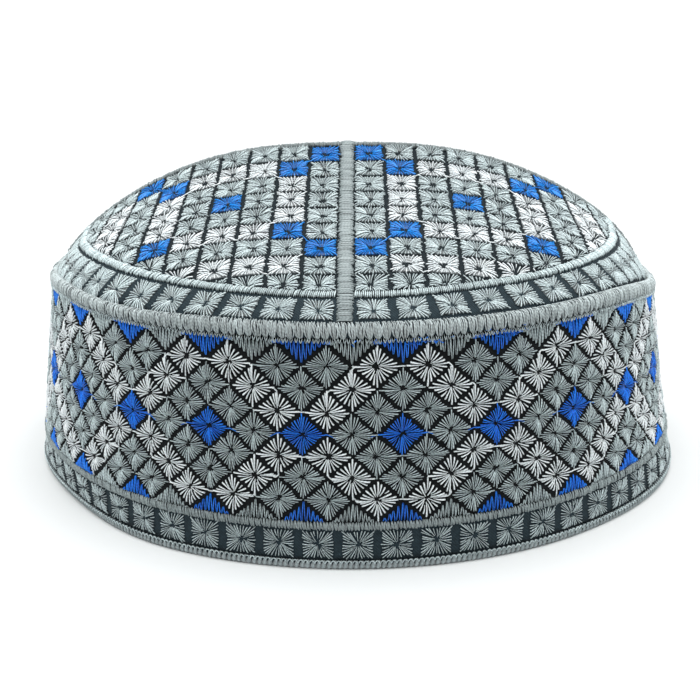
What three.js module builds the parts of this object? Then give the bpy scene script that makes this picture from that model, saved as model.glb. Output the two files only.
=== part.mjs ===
// Kufi: a round brimless cap with a low tent-shaped crown on a straight side band.
// Millimetres, +Z up, front towards -Y, origin at the middle of the head opening on the ground.
import * as THREE from "three";

// Side band: its outer face is an oval at the hem and nearly round at the rim.
const hemHalfWidth = 98.7;
const hemHalfDepth = 92.7;
const rimHalfWidth = 90.7;
const rimHalfDepth = 91.7;
const rimHeight = 62.6;
const wallThickness = 2.4;
const seamGap = 0.3;

// The rim sags where the crown's crease meets it, on the left and on the right.
const rimSag = { left: 3.5, right: 8 };
const rimSagSpread = { left: 44, right: 53 };

// The cloth above the hem is pressed in at the front left and flares at the front right:
// how far outwards, at which angle from the front, over what spread, and up to what height
const hemPress = { outward: -2.8, angle: -58, spread: 31, reach: 15 };
const hemFlare = { outward: 1.7, angle: 69, spread: 34, reach: 25 };

// Hem binding, wrapped round the lower edge of the band
const bindingHeight = 3.3;
const bindingProud = 0.6;

// Satin line stitched round the band above the border
const bandLineHeight = 12.0;
const bandLineWidth = 2.8;
const bandLineRelief = 0.8;

// Overlocked cord over the seam of band and crown
const cordBottom = 59.7;
const cordTop = 64;
const cordProud = 0.8;
const cordDepth = 2.1;

// Crown: a creased ridge runs from left to right, and the cloth falls from it to front and back.
const crownRimHeight = 63.6;
const crownRise = 31;
const crownThickness = 2.1;
const ridgeRoundness = { left: 2.75, right: 2.55 };
const ridgeShoulder = 1.12;
const ridgeOverrun = 1.4;
const fallBesideCrease = { middle: 1.2, perSide: -0.5 };
const fallHalfway = { middle: -0.37, perSide: 0.2 };
const rimRounding = 6;
const sagRounding = 16;

// Satin strips that cross on the crown, and the satin ring inside the cord
const stripWidth = 3.7;
const stripRelief = 1.0;
const stripOffset = -1.5;
const ringLineDepth = 80.4;
const ringLineWidth = 1.9;
const ringLineRelief = 0.8;

// Where those pieces meet: the crown's edge inside the cord, and the ends of the strips
const crownInset = cordProud - cordDepth - seamGap;
const crownHalfWidth = rimHalfWidth + crownInset;
const crownHalfDepth = rimHalfDepth + crownInset;
const crownSquash = crownHalfWidth / crownHalfDepth;
const stripInset = 0.4;
const ringInner = ringLineDepth - ringLineWidth / 2;

// Faceting
const roundSegments = 72;
const crownRings = 11;
const stripSteps = 30;
const arcSteps = 16;

const fabric = (colour, roughness) =>
  new THREE.MeshStandardMaterial({ color: colour, roughness: roughness, metalness: 0 });
const cloth = () => fabric(0x2b3a3f, 0.95);
const greyThread = () => fabric(0x939d9c, 0.7);
const cordThread = () => fabric(0xa9aaa8, 0.8);

const kufi = new THREE.Group();

function addPiece(name, geometry, material) {
  const piece = new THREE.Mesh(geometry, material);
  piece.name = name;
  kufi.add(piece);
}

function movePoints(geometry, place) {
  const points = geometry.getAttribute("position");
  const point = new THREE.Vector3();
  for (let i = 0; i < points.count; i += 1) {
    point.fromBufferAttribute(points, i);
    place(point);
    points.setXYZ(i, point.x, point.y, point.z);
  }
  return geometry;
}

// Outer face of the band at a height: half its width and half its depth
function bandOval(height) {
  const up = height / rimHeight;
  return {
    halfWidth: THREE.MathUtils.lerp(hemHalfWidth, rimHalfWidth, up),
    halfDepth: THREE.MathUtils.lerp(hemHalfDepth, rimHalfDepth, up),
  };
}

// Share of a bulge or sag at an angle in degrees: 1 at its middle, down to nothing at its spread
function shareAt(angle, middle, spread) {
  const away = Math.min(Math.abs(angle - middle) / spread, 1);
  return Math.pow(1 - away * away, 3);
}

// How far the rim sags over a point of the plan
function sagOver(x, y) {
  const side = x < 0 ? "left" : "right";
  const fromCrease = THREE.MathUtils.radToDeg(Math.atan2(Math.abs(y), Math.abs(x)));
  return rimSag[side] * shareAt(fromCrease, 0, rimSagSpread[side]);
}

// How far the cloth stands outwards near the hem, by the angle from the front and the height
function hemSway(x, y, height) {
  const fromFront = THREE.MathUtils.radToDeg(Math.atan2(x, -y));
  let outward = 0;
  for (const sway of [hemPress, hemFlare]) {
    const up = Math.max(1 - height / sway.reach, 0);
    outward += sway.outward * up * shareAt(fromFront, sway.angle, sway.spread);
  }
  return outward;
}

// A ring turned on a lathe from a closed profile of [outward from the band's face, height],
// then pressed from round to the band's oval, swayed near the hem and sagged near the rim
function bandRing(profile) {
  const turningRadius = hemHalfDepth;
  const outline = [...profile, profile[0]];
  const points = outline.map(([outward, height]) => new THREE.Vector2(turningRadius + outward, height));
  const ring = new THREE.LatheGeometry(points, roundSegments);
  ring.rotateX(Math.PI / 2);
  return movePoints(ring, (point) => {
    const sway = hemSway(point.x, point.y, point.z);
    const outward = Math.hypot(point.x, point.y) - turningRadius + sway;
    const angle = Math.atan2(point.y, point.x);
    const oval = bandOval(point.z);
    const up = point.z / rimHeight;
    point.z -= sagOver(point.x, point.y) * up * up;
    point.x = (oval.halfWidth + outward) * Math.cos(angle);
    point.y = (oval.halfDepth + outward) * Math.sin(angle);
  });
}

// Height of the crown's upper face over a point of its oval plan
function crownHeight(x, y) {
  const side = Math.min(Math.abs(x) / crownHalfWidth, 1);
  const alongRidge = Math.abs(x) / (crownHalfWidth + ridgeOverrun);
  const roundness = x < 0 ? ridgeRoundness.left : ridgeRoundness.right;
  const ridge = crownRise * Math.pow(1 - Math.pow(alongRidge, roundness), ridgeShoulder);
  const toEdge = crownHalfDepth * Math.sqrt(1 - side * side);
  const away = toEdge > 0 ? Math.min(Math.abs(y) / toEdge, 1) : 1;
  const near = fallBesideCrease.middle + fallBesideCrease.perSide * side * side;
  const half = fallHalfway.middle + fallHalfway.perSide * side * side;
  const fall = near * away + half * away * away + (1 - near - half) * Math.pow(away, rimRounding);
  const outwards = Math.min(Math.hypot(x / crownHalfWidth, y / crownHalfDepth), 1);
  const sag = sagOver(x / crownSquash, y) * Math.pow(outwards, sagRounding);
  return crownRimHeight + ridge * (1 - fall) - sag;
}

// The crown is a disc turned on a lathe, pressed oval, each point then lifted to the crown's height.
function crownShell() {
  const outline = [];
  for (let ring = 0; ring <= crownRings; ring += 1) {
    outline.push(new THREE.Vector2((crownHalfDepth * ring) / crownRings, -crownThickness));
  }
  for (let ring = crownRings; ring >= 0; ring -= 1) {
    outline.push(new THREE.Vector2((crownHalfDepth * ring) / crownRings, 0));
  }
  const disc = new THREE.LatheGeometry(outline, roundSegments);
  disc.rotateX(Math.PI / 2);
  return movePoints(disc, (point) => {
    point.x *= crownSquash;
    point.z += crownHeight(point.x, point.y);
  });
}

// A flat ribbon laid on the crown: its length follows path(0..1), which gives the plan point
// and the plan direction across it, and its middle stands higher than its edges.
function crownRibbon(width, relief, steps, path) {
  const sidePieces = 2;
  const edgeShare = 0.55;
  const ribbon = new THREE.BoxGeometry(width, 1, 1, sidePieces, steps, 1);
  return movePoints(ribbon, (point) => {
    const { x, y, acrossX, acrossY } = path(point.y + 0.5);
    const top = point.z > 0;
    const crowned = 1 - (1 - edgeShare) * Math.abs(point.x) / (width / 2);
    const lift = seamGap + (top ? relief * crowned : 0);
    const planX = x + acrossX * point.x;
    const planY = y + acrossY * point.x;
    point.set(planX, planY, crownHeight(planX, planY) + lift);
  });
}

function sideBand() {
  const bottom = bindingHeight + seamGap;
  const top = cordBottom - seamGap;
  const heights = [bottom, bandLineHeight, hemFlare.reach, (hemFlare.reach + top) / 2, top];
  const outer = heights.map((height) => [0, height]);
  const inner = heights.map((height) => [-wallThickness, height]).reverse();
  return bandRing([...outer, ...inner]);
}

function hemBinding() {
  const innerFace = -wallThickness - bindingProud;
  const round = bindingProud;
  return bandRing([
    [bindingProud - round, 0],
    [bindingProud, round],
    [bindingProud, bindingHeight - round],
    [bindingProud - round, bindingHeight],
    [innerFace + round, bindingHeight],
    [innerFace, bindingHeight - round],
    [innerFace, round],
    [innerFace + round, 0],
  ]);
}

function bandLine() {
  const half = bandLineWidth / 2;
  const crest = seamGap + bandLineRelief;
  return bandRing([
    [seamGap, bandLineHeight - half],
    [crest, bandLineHeight - half / 2],
    [crest, bandLineHeight + half / 2],
    [seamGap, bandLineHeight + half],
  ]);
}

function rimCord() {
  const middle = (cordTop + cordBottom) / 2;
  const halfHeight = (cordTop - cordBottom) / 2;
  const centre = cordProud - cordDepth / 2;
  const corners = 10;
  const squareness = 0.7;
  const bend = (value) => Math.sign(value) * Math.pow(Math.abs(value), squareness);
  const profile = [];
  for (let corner = 0; corner < corners; corner += 1) {
    const turn = (2 * Math.PI * (corner + 0.5)) / corners;
    const outward = centre + (cordDepth / 2) * bend(Math.cos(turn));
    profile.push([outward, middle + halfHeight * bend(Math.sin(turn))]);
  }
  return bandRing(profile);
}

// The front-to-back strip runs whole over the crown; the left and right strips stop beside it.
function longStrip() {
  return crownRibbon(stripWidth, stripRelief, 2 * stripSteps, (along) => ({
    x: stripOffset,
    y: THREE.MathUtils.lerp(-1, 1, along) * (crownHalfDepth - stripInset),
    acrossX: 1,
    acrossY: 0,
  }));
}

function sideStrip(side) {
  const start = stripOffset + side * (stripWidth / 2 + seamGap);
  return crownRibbon(stripWidth, stripRelief, stripSteps, (along) => ({
    x: THREE.MathUtils.lerp(start, side * (crownHalfWidth - stripInset), along),
    y: 0,
    acrossX: 0,
    acrossY: -side,
  }));
}

// One quarter of the satin ring, which is as oval as the crown: side is -1 for left or 1 for
// right, end is -1 for front or 1 for back. The angle counts from side strip to long strip.
function ringArc(side, end) {
  const clear = stripWidth / 2 + seamGap;
  const besideSideStrip = Math.asin(clear / ringInner);
  const besideLongStrip = Math.acos((side * stripOffset + clear) / (ringInner * crownSquash));
  const anticlockwise = side * end > 0;
  const from = anticlockwise ? besideSideStrip : besideLongStrip;
  const to = anticlockwise ? besideLongStrip : besideSideStrip;
  return crownRibbon(ringLineWidth, ringLineRelief, arcSteps, (along) => {
    const angle = THREE.MathUtils.lerp(from, to, along);
    return {
      x: side * ringLineDepth * crownSquash * Math.cos(angle),
      y: end * ringLineDepth * Math.sin(angle),
      acrossX: side * Math.cos(angle),
      acrossY: end * Math.sin(angle),
    };
  });
}

addPiece("crown", crownShell(), cloth());
addPiece("side_band", sideBand(), cloth());
addPiece("hem_binding", hemBinding(), cordThread());
addPiece("band_line", bandLine(), greyThread());
addPiece("rim_cord", rimCord(), cordThread());
addPiece("crown_strip_long", longStrip(), greyThread());
addPiece("crown_strip_left", sideStrip(-1), greyThread());
addPiece("crown_strip_right", sideStrip(1), greyThread());
for (const [sideName, side] of [["left", -1], ["right", 1]]) {
  for (const [endName, end] of [["front", -1], ["back", 1]]) {
    addPiece(`crown_line_${endName}_${sideName}`, ringArc(side, end), greyThread());
  }
}

export default kufi;
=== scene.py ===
"""Dresses the kufi cap: cloth, embroidery threads, sewn edges, camera and studio."""
from math import pi, radians

import bpy
import numpy as np
from mathutils import Matrix, Vector


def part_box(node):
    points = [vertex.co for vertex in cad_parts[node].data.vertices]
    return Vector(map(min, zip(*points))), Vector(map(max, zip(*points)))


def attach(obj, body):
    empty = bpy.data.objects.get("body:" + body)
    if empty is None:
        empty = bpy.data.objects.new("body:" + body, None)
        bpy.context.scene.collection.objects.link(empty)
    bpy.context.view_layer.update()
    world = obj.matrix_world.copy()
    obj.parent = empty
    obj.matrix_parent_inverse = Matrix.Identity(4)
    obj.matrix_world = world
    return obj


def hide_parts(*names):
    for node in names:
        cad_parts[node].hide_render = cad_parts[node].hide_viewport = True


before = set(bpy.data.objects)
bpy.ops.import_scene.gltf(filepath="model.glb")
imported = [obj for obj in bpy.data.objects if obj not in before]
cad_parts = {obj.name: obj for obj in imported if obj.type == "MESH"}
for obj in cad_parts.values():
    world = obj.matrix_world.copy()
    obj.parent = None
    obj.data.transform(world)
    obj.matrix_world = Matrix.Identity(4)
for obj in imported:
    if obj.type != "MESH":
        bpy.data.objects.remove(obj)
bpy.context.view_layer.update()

bl_info = {
    "name": "Embroidered kufi cap",
    "version": (1, 0, 0),
    "blender": (4, 5, 0),
    "location": "3D View > Sidebar > Kufi",
    "description": "Lays cloth and embroidery threads over the solids of a kufi cap",
    "category": "Object",
}

MM = 0.001


# Measures of the cap, as its solids have them

HEM_HALF_SIZES = np.array([98.7, 92.7]) * MM
RIM_HALF_SIZES = np.array([90.7, 91.7]) * MM
RIM_HEIGHT = 62.6 * MM
BAND_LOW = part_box("side_band")[0].z - 1 * MM
BAND_HIGH = 60.8 * MM
BAND_MIDDLE = 31.3 * MM
BAND_LEAN = (RIM_HALF_SIZES - HEM_HALF_SIZES) / RIM_HEIGHT
BAND_MIDDLE_HALF_SIZES = HEM_HALF_SIZES + BAND_LEAN * BAND_MIDDLE
WALL = 2.4 * MM

# How deep the rim sags at the ends of the crease, and over how many degrees to either side
SAG_LEFT, SAG_LEFT_SPREAD = 3.5 * MM, 44
SAG_RIGHT, SAG_RIGHT_SPREAD = 8 * MM, 53

# How much lower still the band and its cord hang between the left end and the front
LEFT_DIP = 0.6 * MM

# How many degrees the band's cloth is drawn towards the front at its left end, most of all low
# down, and at its right end
LEFT_DRAWN, RIGHT_DRAWN = 4.6, -1.6

# Where the cloth above the hem is pressed in and where it flares: how far outwards, at which
# angle from the front, over how many degrees, and up to what height
HEM_SWAYS = ((-2.8 * MM, -58, 31, 15 * MM), (1.7 * MM, 69, 34, 25 * MM))

CROWN_HALF_WIDTH = 89.1 * MM
CROWN_HALF_DEPTH = 90.1 * MM
CROWN_SQUASH = CROWN_HALF_WIDTH / CROWN_HALF_DEPTH
CROWN_RIM_HEIGHT = 63.6 * MM
CROWN_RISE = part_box("crown")[1].z - CROWN_RIM_HEIGHT
CROWN_THICKNESS = 2.1 * MM

# How far beyond the crown the ridge would reach, how fast it drops towards its left and right
# end, and how round it is on top
RIDGE_OVERRUN = 1.4 * MM
RIDGE_DROPS = (2.75, 2.55)
RIDGE_ROUNDING = 1.12

# How the crown falls from the ridge to the rim: the part that falls evenly and the part that
# hollows the slope, each in the middle and as it changes towards the ends of the ridge
FALL_EVEN = (1.2, -0.5)
FALL_HOLLOW = (-0.37, 0.2)

LONG_STRIP_LOW, LONG_STRIP_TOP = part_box("crown_strip_long")
STRIP_OFFSET = (LONG_STRIP_LOW.x + LONG_STRIP_TOP.x) / 2
STRIP_WIDTH = LONG_STRIP_TOP.x - LONG_STRIP_LOW.x
STRIP_REACH = LONG_STRIP_TOP.y
SIDE_STRIP_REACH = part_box("crown_strip_right")[1].x
RING_LINE_DEPTH = 80.4 * MM
RIM_SQUARE_RADIUS = 85.8 * MM

# Counts of the embroidery's own units round the band; row 0 and the last row of stars are the
# half stars along the band's edges
BAND_COLUMNS = 96
BAND_ROWS = 8
BORDER_SQUARES = 59
COLUMN_START = -12.137 * MM
BORDER_START = -18.7 * MM
TOP_ROW_HEIGHT = 59.17 * MM
ROW_PITCH = 5.773 * MM
STARS_TOP = 59.7 * MM
STARS_BOTTOM = 12.9 * MM
BAND_LINE_HEIGHT = 11.85 * MM
BORDER_ROW_HEIGHT = 6.72 * MM

# Pitches of the crown's squares
CELL_PITCH = 9.14 * MM
FIRST_CELL_ACROSS = 6.49 * MM
FIRST_CELL_DOWN = 5.69 * MM
CELL_DROP = 9.2 * MM

# How many millimetres nearer to the rim the squares of each column lie, from the strip outwards
LEFT_DROPS = (1.3, 0.4, -0.1, -0.2, 0.8, 1.3, 1.4, 1.4, 1.4, 1.4)
RIGHT_DROPS = (1, 0.2, -0.3, -0.3, 0.1, 0.6, 1, 1, 1, 1)

# Squares along the rim in one quarter
RIM_SQUARES = 14

# Crown squares of one quarter, from the crease down and from the strip outwards; a tenth column
# beyond them is grey
CROWN_CHART = (
    "BgggggBgg",
    "gBWWWBgWg",
    "gWgggWgWg",
    "gWgBgWgWg",
    "gWgggWgWg",
    "gBWWWBgWg",
    "BgggggBgg",
    "gWWWWWggg",
    "ggggggggg",
)


def unit(vectors):
    return vectors / np.maximum(np.linalg.norm(vectors, axis=-1, keepdims=True), 1e-12)


def levelled(vectors):
    """Directions without their rise or fall."""
    return unit(vectors * [1, 1, 0])


def crosswise(vectors):
    """Vectors of a plan after a quarter turn."""
    return np.stack([-vectors[..., 1], vectors[..., 0]], -1)


def pairs(first, second):
    """Points of two values; either may be one value for all."""
    return np.stack(np.broadcast_arrays(first, second), -1)


def between(start, end, shares):
    """Points at the given shares of the way from each start to its end."""
    shares = shares[None, :, None]
    return start[:, None] * (1 - shares) + end[:, None] * shares


def ring_steps(count):
    """The numbers of the points of a closed ring, and those of the points after them."""
    steps = np.arange(count)
    return steps, (steps + 1) % count


def share_at(degrees, middle, spread):
    """Share of a bulge or sag: 1 at its middle, down to nothing at its spread."""
    away = np.minimum(np.abs(degrees - middle) / spread, 1)
    return (1 - away ** 2) ** 3


def rim_sag(angle):
    """How deep the rim sags at each angle from the front, in radians."""
    from_crease = np.abs(np.abs(np.degrees(angle)) - 90)
    left = SAG_LEFT * share_at(from_crease, 0, SAG_LEFT_SPREAD)
    right = SAG_RIGHT * share_at(from_crease, 0, SAG_RIGHT_SPREAD)
    return np.where(angle < 0, left, right)


def eased(values, low, high):
    """Rises smoothly from 0 at low to 1 at high."""
    t = np.clip((values - low) / (high - low), 0, 1)
    return t * t * (3 - 2 * t)


def rim_shift(angle):
    """How much further out the ring line and the rim squares lie than on an even oval."""
    turned = (angle + pi) % (2 * pi) - pi
    degrees = np.abs(np.degrees(turned))
    aside = np.minimum(degrees, 180 - degrees)
    left = 2 * eased(aside, 5, 50)
    right = 0.95 * share_at(aside, 43, 30) - 1.2 * share_at(aside, 85, 28)
    return np.where(turned < 0, left, right) * MM


def hem_sway(angle, height):
    """How far the cloth near the hem stands outwards at each angle and height."""
    outward = np.zeros(np.shape(angle))
    for depth, middle, spread, reach in HEM_SWAYS:
        up = np.maximum(1 - height / reach, 0)
        outward = outward + depth * up * share_at(np.degrees(angle), middle, spread)
    return outward


def measure_band():
    """Angle from the front against the length round the band at the middle of its height."""
    angles = np.linspace(-pi, pi, 2881)
    width, depth = BAND_MIDDLE_HALF_SIZES
    steps = np.hypot(np.diff(width * np.sin(angles)), np.diff(depth * np.cos(angles)))
    lengths = np.concatenate([[0], np.cumsum(steps)])
    return angles, lengths - lengths[-1] / 2


BAND_ANGLES, BAND_LENGTHS = measure_band()
BAND_ROUND = BAND_LENGTHS[-1] * 2
COLUMN_PITCH = BAND_ROUND / BAND_COLUMNS
BORDER_PITCH = BAND_ROUND / BORDER_SQUARES
BAND_STAR_HALF = np.array([COLUMN_PITCH, ROW_PITCH])
COLUMNS = range(-BAND_COLUMNS // 2, BAND_COLUMNS // 2)


def band_face(along, height):
    """Places and outward directions on the band, by the length round it and the height."""
    wrapped = (along + BAND_ROUND / 2) % BAND_ROUND - BAND_ROUND / 2
    angle = np.interp(wrapped, BAND_LENGTHS, BAND_ANGLES)
    degrees = np.degrees(angle)
    low_share = 1.05 - np.maximum(height, 20 * MM) / (60 * MM)
    drawn = (LEFT_DRAWN * low_share * share_at(degrees, -90, 75)
             + RIGHT_DRAWN * share_at(degrees, 90, 60))
    angle = angle + np.radians(drawn)
    across, ahead = np.sin(angle), -np.cos(angle)
    width, depth = BAND_MIDDLE_HALF_SIZES
    outward = unit(np.stack([depth * across, width * ahead, np.zeros_like(angle)], -1))
    lean = BAND_LEAN[0] * across ** 2 + BAND_LEAN[1] * ahead ** 2
    out = lean * (height - BAND_MIDDLE) + hem_sway(angle, height)
    sag = rim_sag(angle) + LEFT_DIP * share_at(degrees, -42, 28)
    sagged = height - sag * (height / RIM_HEIGHT) ** 2
    place = np.stack([width * across, depth * ahead, sagged], -1) + outward * out[..., None]
    outward[..., 2] = -lean
    return place, unit(outward)


def beside_band(along, outward_by, height):
    """Places round the band at the given heights, moved level outwards."""
    place, outward = band_face(along, np.broadcast_to(height, along.shape))
    return place + levelled(outward) * np.broadcast_to(outward_by, along.shape)[..., None]


def round_the_band(count, wander, rng):
    """Even steps round the band, each a little off its place."""
    return (np.arange(count) / count - 0.5) * BAND_ROUND + rng.normal(0, wander, count)


def crown_height(x, y):
    """Height of the crown's upper face: a creased ridge from side to side that falls to the rim."""
    side = np.minimum(np.abs(x) / CROWN_HALF_WIDTH, 1)
    along_ridge = np.minimum(np.abs(x) / (CROWN_HALF_WIDTH + RIDGE_OVERRUN), 1)
    drop = np.where(x < 0, *RIDGE_DROPS)
    ridge = CROWN_RISE * (1 - along_ridge ** drop) ** RIDGE_ROUNDING
    to_edge = CROWN_HALF_DEPTH * np.sqrt(1 - side * side)
    away = np.minimum(np.abs(y) / np.maximum(to_edge, 1e-9), 1)
    even = FALL_EVEN[0] + FALL_EVEN[1] * side * side
    hollow = FALL_HOLLOW[0] + FALL_HOLLOW[1] * side * side
    fall = even * away + hollow * away ** 2 + (1 - even - hollow) * away ** 6
    outwards = np.minimum(np.hypot(x / CROWN_HALF_WIDTH, y / CROWN_HALF_DEPTH), 1)
    sag = rim_sag(np.arctan2(x / CROWN_SQUASH, -y)) * outwards ** 16
    return CROWN_RIM_HEIGHT + ridge * (1 - fall) - sag


def crown_point(x, y):
    """Places and upward directions on the crown over points of its plan."""
    step = 0.1 * MM
    slope_x = (crown_height(x + step, y) - crown_height(x - step, y)) / (2 * step)
    slope_y = (crown_height(x, y + step) - crown_height(x, y - step)) / (2 * step)
    upward = np.stack([-slope_x, -slope_y, np.ones_like(slope_x)], -1)
    return np.stack([x, y, crown_height(x, y)], -1), unit(upward)


def climbed(x, y, axis):
    """Length over the cloth from the first point of each row of points."""
    rise = np.diff(crown_height(x, y), axis=axis)
    run = np.hypot(np.diff(x, axis=axis), np.diff(y, axis=axis))
    start = np.zeros_like(np.take(run, [0], axis=axis))
    return np.concatenate([start, np.cumsum(np.hypot(rise, run), axis=axis)], axis=axis)


# Steps of the tables that lead from lengths over the crown's cloth to its plan
PLAN_STEP = 0.5 * MM


def measure_crown():
    """Plan place of each pair of lengths over the cloth, across from the strip and down from
    the crease."""
    lengths = np.arange(220) * PLAN_STEP
    down = np.linspace(0, CROWN_HALF_DEPTH * 0.999, 300)
    start_y = np.interp(lengths, climbed(np.zeros_like(down), down, 0), down)
    across = np.linspace(0, CROWN_HALF_WIDTH * 0.998, 200)
    row_lengths = climbed(*np.meshgrid(across, start_y), 1)
    plan_x = np.stack([np.interp(lengths, row, across) for row in row_lengths])
    edge_y = CROWN_HALF_DEPTH * np.sqrt(1 - (across / CROWN_HALF_WIDTH) ** 2) * 0.999
    columns_y = np.linspace(0, 1, 200)[:, None] * edge_y
    columns_x = np.broadcast_to(across, columns_y.shape)
    column_lengths = climbed(columns_x, columns_y, 0)
    column_y = np.stack([np.interp(lengths, *ways)
                         for ways in zip(column_lengths.T, columns_y.T)])
    plan_y = np.stack([np.interp(row, across, ways) for row, ways in zip(plan_x, column_y.T)])
    return plan_x, plan_y


CROWN_PLAN_X, CROWN_PLAN_Y = measure_crown()


def plan_value(table, across, down):
    """A value between the entries of a table made by measure_crown."""
    u = np.clip(np.abs(across) / PLAN_STEP, 0, table.shape[1] - 1.001)
    v = np.clip(np.abs(down) / PLAN_STEP, 0, table.shape[0] - 1.001)
    i, j = u.astype(int), v.astype(int)
    s, t = u - i, v - j
    near = table[j, i] * (1 - s) + table[j, i + 1] * s
    far = table[j + 1, i] * (1 - s) + table[j + 1, i + 1] * s
    return near * (1 - t) + far * t


def crown_face(across, down):
    """Places and upward directions on the crown, by the lengths over its cloth; down is
    negative towards the front."""
    x = np.sign(across) * plan_value(CROWN_PLAN_X, across, down)
    y = np.sign(down) * plan_value(CROWN_PLAN_Y, across, down)
    return crown_point(x + STRIP_OFFSET * (1 - (x / CROWN_HALF_WIDTH) ** 2), y)


def rim_face(along, radius):
    """The crown near its rim, by the length round it at the rim squares and the plan radius.
    Beyond the crown's edge the face runs on down into the seam."""
    angle = along / RIM_SQUARE_RADIUS
    radius = radius + rim_shift(angle)
    place, outward = crown_point(radius * np.sin(angle) * CROWN_SQUASH, -radius * np.cos(angle))
    place[..., 2] -= 1.5 * np.maximum(radius - CROWN_HALF_DEPTH, 0)
    return place, outward


# Threads: each is a closed strand with a ridge, laid over a face from tip to tip. Stations are
# shares of its length, widths the shares of its full width at the stations between the tips,
# and lifts the shares of its full relief at every station.

STAR_STATIONS = np.array([0, 0.1, 0.42, 0.8, 0.965, 1])
STAR_WIDTHS = np.array([0.5, 0.68, 1, 1])
STAR_LIFTS = np.array([-0.5, 0.4, 1, 1, 0.8, 0.45])
SQUARE_LIFTS = np.array([-0.6, 0.4, 1, 1.1, 1, 0.75])
SATIN_STATIONS = np.array([0, 0.06, 0.3, 0.7, 0.94, 1])
SATIN_WIDTHS = np.array([0.62, 1, 1, 0.62])
SATIN_LIFTS = np.array([0.15, 0.65, 1, 1, 0.65, 0.15])

# Mounds of underlay get the painted shade of a thread's flank, as shade between the rays
MOUND_PAINTED_SHADE = 0.05


def strands(points, outward, half_width, thickness, rng, flank=1.0):
    """One batch of strands: centre points and outward directions from tip to tip, with the
    half width and thickness at each station between the tips. A flank below 1 keeps the
    painted shade of the flanks off the edges of wide strands."""
    count, inner = points.shape[0], points.shape[1] - 2
    return {
        "points": points,
        "outward": unit(outward),
        "half_width": np.broadcast_to(half_width, (count, inner)),
        "thickness": thickness,
        "shade": rng.random(count),
        "flank": flank,
    }


def lay(face, start, end, width, relief, rng, stations=STAR_STATIONS, widths=STAR_WIDTHS,
        lifts=STAR_LIFTS, bow=0.06 * MM, thickness=0.34 * MM, lift_spread=0.16, flank=1.0):
    """Strands laid straight over a face between points given in the face's own two lengths."""
    start, end = np.asarray(start, float), np.asarray(end, float)
    each = (len(start), 1)
    swing = rng.normal(0, bow, each) * np.sin(pi * stations)
    path = between(start, end, stations)
    path = path + unit(crosswise(end - start))[:, None] * swing[..., None]
    place, outward = face(path[..., 0], path[..., 1])
    rise = relief * lifts * (1 + rng.normal(0, lift_spread, each))
    widths = width / 2 * widths * (1 + rng.normal(0, 0.08, each))
    return strands(place + outward * rise[..., None], outward, widths, thickness, rng, flank)


def bend(face, through, width, relief, rng, thickness=0.3 * MM):
    """Strands that follow given stations over a face: through holds rows of stations."""
    through = np.asarray(through, float)
    place, outward = face(through[..., 0], through[..., 1])
    lifts = np.ones(through.shape[1])
    lifts[[0, -1]] = 0.3
    return strands(place + outward * (relief * lifts)[:, None], outward, width / 2, thickness, rng)


def padding(face, centres, half_sizes, shift, relief, rng):
    """Low mounds of underlay stitches that fill the squares beneath their rays: a dip at the
    hole, a crest near the sides and a closed underside. The shift moves them uphill."""
    around = between(SQUARE, np.roll(SQUARE, -1, axis=0), np.array([0, 0.25, 0.5, 0.75]))
    around = around.reshape(-1, 2)
    around = around[np.argsort(np.arctan2(around[:, 1], around[:, 0]))]
    shares = (0.24, 0.5, 0.84, 0.96)
    plan = np.concatenate([np.zeros((1, 2)), *(around * share for share in shares),
                           np.zeros((1, 2))])
    spokes = len(around)
    counts = [1, *[spokes] * len(shares), 1]
    heights = np.repeat([-0.3, -0.15, 0.4, 0.6, -0.2, -0.3], counts) * relief
    away = np.repeat([0, 0, 0.4, 1, 1, 0], counts)
    points = centres[:, None] + plan * half_sizes + away[:, None] * shift[:, None]
    place, outward = face(points[..., 0], points[..., 1])
    place = place + outward * heights[:, None]
    k, k_next = ring_steps(spokes)
    last = 1 + len(shares) * spokes
    faces = [np.stack([0 * k, 1 + k, 1 + k_next], -1)]
    for inner in range(1, last - spokes, spokes):
        outer = inner + spokes
        faces.append(np.stack([inner + k, outer + k, outer + k_next], -1))
        faces.append(np.stack([inner + k, outer + k_next, inner + k_next], -1))
    faces.append(np.stack([0 * k + last, last - spokes + k_next, last - spokes + k], -1))
    info = np.zeros((len(centres), last + 1, 3))
    info[..., 0] = np.linalg.norm(plan * half_sizes, axis=-1) / MM
    # The mounds' tone is painted shade, standing for the shade between the rays.
    info[..., 1] = MOUND_PAINTED_SHADE
    info[..., 2] = rng.random((len(centres), 1))
    return {"coords": place, "triangles": np.concatenate(faces), "info": info}


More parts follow.
